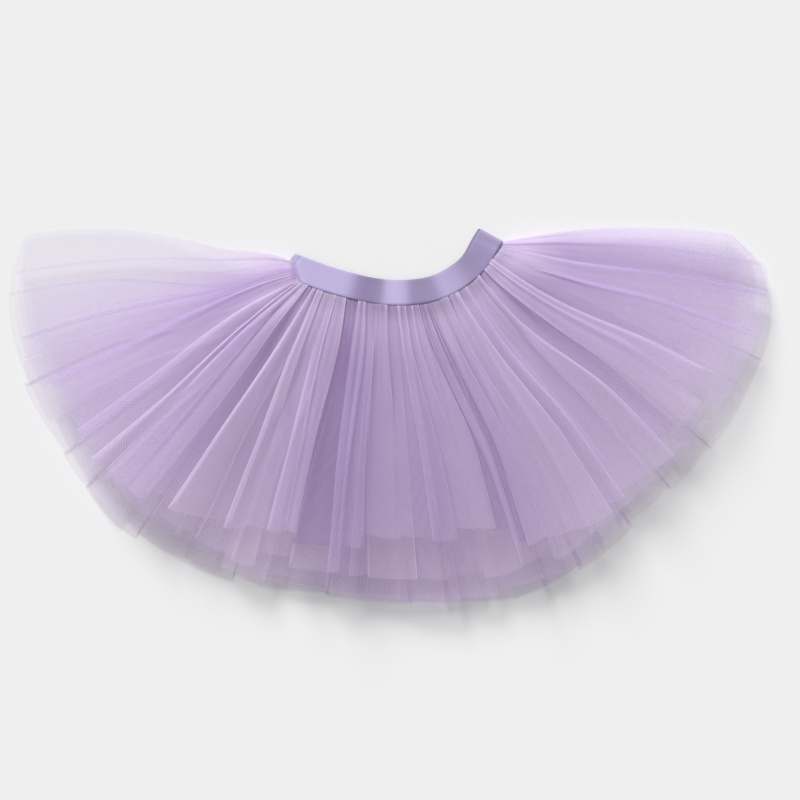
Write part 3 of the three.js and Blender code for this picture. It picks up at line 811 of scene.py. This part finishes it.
# How far each end reaches past the line: place across the band, reach.
LEFT_END = [(-11.7, 3.4), (-5, 5.2), (2, 1.4), (11.7, -6.0)]
RIGHT_END = [(-11.7, 0.3), (11.7, 2.0)]
END_LENGTH = 0.1  # share of the band over which an end's slant fades
END_STEPS = 7
END_BULGE = 1.2  # how far the fold at each end bulges outwards
BACK_SHOWS = 2.0  # how far the back shows past the front's upper edge at the right
BACK_SHOWS_FROM = (0.8, 0.95)
INSIDE_ENDS = (0.001, 0.999)  # shares of the waist at which angles can be read
BAND_SEAM = [(-81.0, 150.5), (-91.5, 135.0)]  # two points of the seam across its left end
PAST_TUCK = 1.6  # how far down the outer front the band's lower edge lies on it, in tucks
ROUND_AT = 5  # the column that the elastic's length round is measured on
WIDE_AT = 40  # the station that its width is measured at


def band_front_height(share, across):
    """The middle height of the band's front: it lies on the gathered edges, so its lower edge stands high."""
    angle = waist_angle(np.clip(share, *INSIDE_ENDS))
    top_edge = BAND_WALL * 1.5 + BAND_TOP_GAP
    outer = PANELS[-1]

    def stack(way):
        return panel_height(outer, angle, way) + CLOTH / 2 + SEAM_GAP + BAND_WALL / 2 - top_edge

    edge = PAST_TUCK * TUCK / SKIRT_LENGTH
    steepest = np.maximum(
        stack(0.0) / (2 * BAND_PLAN_HALF - TUCK),
        (stack(edge) + rise_of(outer, angle, edge)) / (2 * BAND_PLAN_HALF),
    )
    return top_edge + steepest * (across + BAND_PLAN_HALF)


def band_surface():
    """The band's middle surface as a ring of stations: front, right end, back, left end."""
    across = np.linspace(-BAND_PLAN_HALF, BAND_PLAN_HALF, BAND_ACROSS)
    left = read_table(LEFT_END, across)
    right = read_table(RIGHT_END, across)
    shares = np.linspace(0, 1, BAND_STATIONS)
    turns = np.linspace(0, math.pi, END_STEPS + 2)[1:-1]
    back = BAND_THICK / 2 + BAND_LIFT

    def station(share, turned, bulge):
        past = -left * (1 - ease(share, 0, END_LENGTH)) + right * ease(share, 1 - END_LENGTH, 1) + bulge
        back_shift = -BACK_SHOWS * ease(share, *BACK_SHOWS_FROM) * turned
        x, y = band_point(share, across + back_shift, past)
        front = band_front_height(share, across) + read_table(BAND_WAVES, share)
        return np.column_stack([x, y, mix(front, back, turned)])

    ring = [station(s, 0, 0) for s in shares]
    ring += [station(1, (1 - math.cos(t)) / 2, END_BULGE * math.sin(t)) for t in turns]
    ring += [station(s, 1, 0) for s in shares[::-1]]
    ring += [station(0, (1 + math.cos(t)) / 2, -END_BULGE * math.sin(t)) for t in turns]
    return np.array(ring)


def band_grid():
    """The band as a closed shell: the ring's outer side, its edge, its inner side and the other edge."""
    ring = band_surface()
    along = np.roll(ring, -1, axis=0) - np.roll(ring, 1, axis=0)
    across = np.gradient(ring, axis=1)
    normal = np.cross(across, along)
    normal /= np.linalg.norm(normal, axis=2)[:, :, None]
    unit = across / np.linalg.norm(across, axis=2)[:, :, None]
    half = BAND_THICK / 2
    outer = ring + half * normal
    inner = (ring - half * normal)[:, ::-1]
    lower = (ring + half * BAND_EDGE * unit)[:, -1:]
    upper = (ring - half * BAND_EDGE * unit)[:, :1]
    return np.concatenate([outer, lower, inner, upper], axis=1)


def off_seam(grid):
    """How far each of the band's points is from the seam at its left end, in millimetres."""
    (x0, y0), (x1, y1) = BAND_SEAM
    run = math.dist(*BAND_SEAM)
    return ((grid[..., 0] - x0) * (y1 - y0) - (grid[..., 1] - y0) * (x1 - x0)) / run


grid = band_grid()
along = running(step_lengths(grid[:, ROUND_AT]))
uv = cloth_uv(along, running(step_lengths(grid[WIDE_AT])))
front_shares = np.linspace(0, 1, BAND_STATIONS)
ring_shares = np.concatenate([front_shares, np.ones(END_STEPS), front_shares[::-1], np.zeros(END_STEPS)])
# Painted light and shade along the band, where its waves turn it to the light or away
painted_shading = np.broadcast_to(read_table(BAND_TONES, ring_shares)[:, None], grid.shape[:2])
reads = {"painted_shading": painted_shading, "seam": off_seam(grid)}
band = mesh_object("waistband_elastic", grid, closed=True, attributes=reads, uv=uv)
band.data.materials.append(elastic_material())
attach(band, "root")
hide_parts("waistband")

# Room
FLOOR_HALF = 4000
FLOOR_LOW = -0.15  # its height, a little under the cloth
FLOOR_TINTS = ((0.80, 0.80, 0.80, 1), (0.81, 0.81, 0.81, 1))
FLOOR_CLOUDS = 40.0
KEY_ENERGY = 4.55
KEY_ANGLE = 20
KEY_WAY = (0.32, -0.88, -0.48)  # the way its light goes
KEY_COLOUR = (1.0, 0.995, 0.985)
ROOM_COLOUR = (0.97, 0.98, 1.0, 1)
ROOM_STRENGTH = 0.42


def floor():
    sides = (-FLOOR_HALF, FLOOR_HALF)
    grid = np.array([[(x, y, FLOOR_LOW) for y in sides] for x in sides[::-1]], float)
    thing = mesh_object("floor", grid)
    n = Nodes("pale_floor")
    tint = n.blend(n.noise(n.add("TexCoord").outputs["Object"], FLOOR_CLOUDS), *FLOOR_TINTS)
    inputs = {"Base Color": tint, "Roughness": 0.9, "Specular IOR Level": 0.1}
    thing.data.materials.append(n.finish(n.add("BsdfPrincipled", inputs).outputs[0]))


def key_light():
    light = bpy.data.lights.new("key", "SUN")
    light.energy = KEY_ENERGY
    light.angle = math.radians(KEY_ANGLE)
    light.color = KEY_COLOUR
    thing = bpy.data.objects.new("key", light)
    bpy.context.collection.objects.link(thing)
    thing.rotation_euler = Vector(KEY_WAY).to_track_quat("-Z", "Y").to_euler()


def room_light():
    world = bpy.data.worlds.new("soft_room")
    bpy.context.scene.world = world
    world.use_nodes = True
    background = world.node_tree.nodes["Background"]
    background.inputs["Color"].default_value = ROOM_COLOUR
    background.inputs["Strength"].default_value = ROOM_STRENGTH


floor()
key_light()
room_light()

# Camera: it looks straight down, as the photo does.
CAMERA_HEIGHT = 2500
SENSOR = 36
camera = bpy.data.cameras.new("camera")
camera.sensor_width = SENSOR
camera.lens = SENSOR * CAMERA_HEIGHT / (PHOTO_PIXELS * MM_PER_PIXEL)
eye = bpy.data.objects.new("camera", camera)
bpy.context.collection.objects.link(eye)
middle_px = PHOTO_PIXELS / 2
eye_x = (middle_px - SKIRT_MIDDLE_PX[0]) * MM_PER_PIXEL
eye_y = (SKIRT_MIDDLE_PX[1] - middle_px) * MM_PER_PIXEL
eye.location = (eye_x * MM, eye_y * MM, CAMERA_HEIGHT * MM)
bpy.context.scene.camera = eye

# Light goes through many walls of net and is scattered between them.
scene = bpy.context.scene
scene.view_settings.view_transform = "Standard"
scene.cycles.transparent_max_bounces = 28
scene.cycles.max_bounces = 4
scene.cycles.diffuse_bounces = 3
scene.cycles.transmission_bounces = 3
